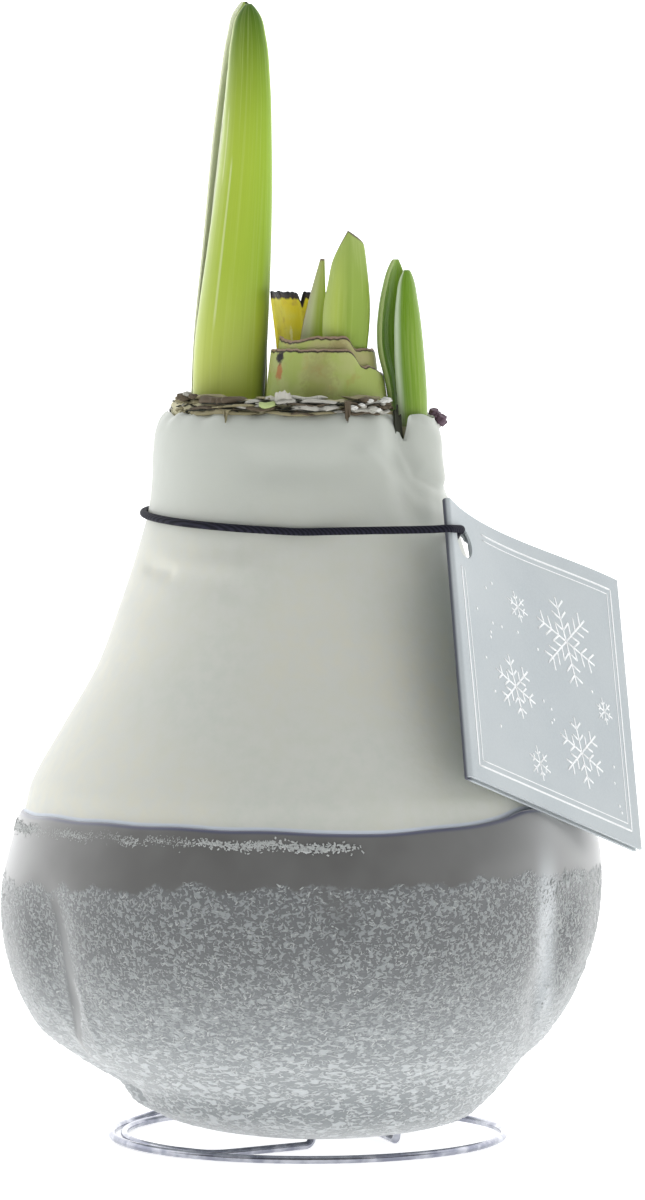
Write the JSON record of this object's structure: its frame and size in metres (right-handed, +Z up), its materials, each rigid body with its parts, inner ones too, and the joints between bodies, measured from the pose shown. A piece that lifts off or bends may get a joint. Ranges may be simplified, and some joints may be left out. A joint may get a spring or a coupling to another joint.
{
  "type": "waxed amaryllis bulb",
  "caption": "Flower bulb dipped in two-tone wax, standing on a bent wire ring, with green leaf shoots and a folded hang tag on an elastic cord.",
  "frame": {"origin": "middle of the object's outline on the floor it stands on", "axes": "+Z up along the bulb and its shoots; -Y is the front, where the tag's fold and the young leaves are seen; +X is to the right, where the tag hangs"},
  "size_m": [0.1002, 0.094, 0.1786],
  "materials": {
    "white_wax": "satin off-white wax",
    "grey_wax": "satin grey wax with white frost crystals",
    "bulb_flesh": "dry bulb scales",
    "papery_tunic": "dry brown tunic",
    "leaf_green": "smooth waxy leaf",
    "cut_leaf": "pale green cut leaf",
    "yellow_leaf": "yellowed cut leaf",
    "bright_steel": "bright wire",
    "grey_card": "smooth grey card",
    "black_elastic": "woven elastic"
  },
  "bodies": {
    "root": {"bulb": "bulb_flesh", "cut_leaf_base_inner": "cut_leaf", "cut_leaf_base_outer": "cut_leaf", "elastic_cord": "black_elastic", "grey_wax_coat": "grey_wax", "neck_tunic": "papery_tunic", "side_leaf_inner": "leaf_green", "side_leaf_outer": "leaf_green", "sliver_leaf": "leaf_green", "tag_card": "grey_card", "tall_leaf_back": "leaf_green", "tall_leaf_front": "leaf_green", "tall_leaf_middle": "leaf_green", "white_wax_coat": "white_wax", "wire_stand": "bright_steel", "yellow_leaf_base": "yellow_leaf", "young_leaf": "leaf_green"}
  },
  "joints": []
}
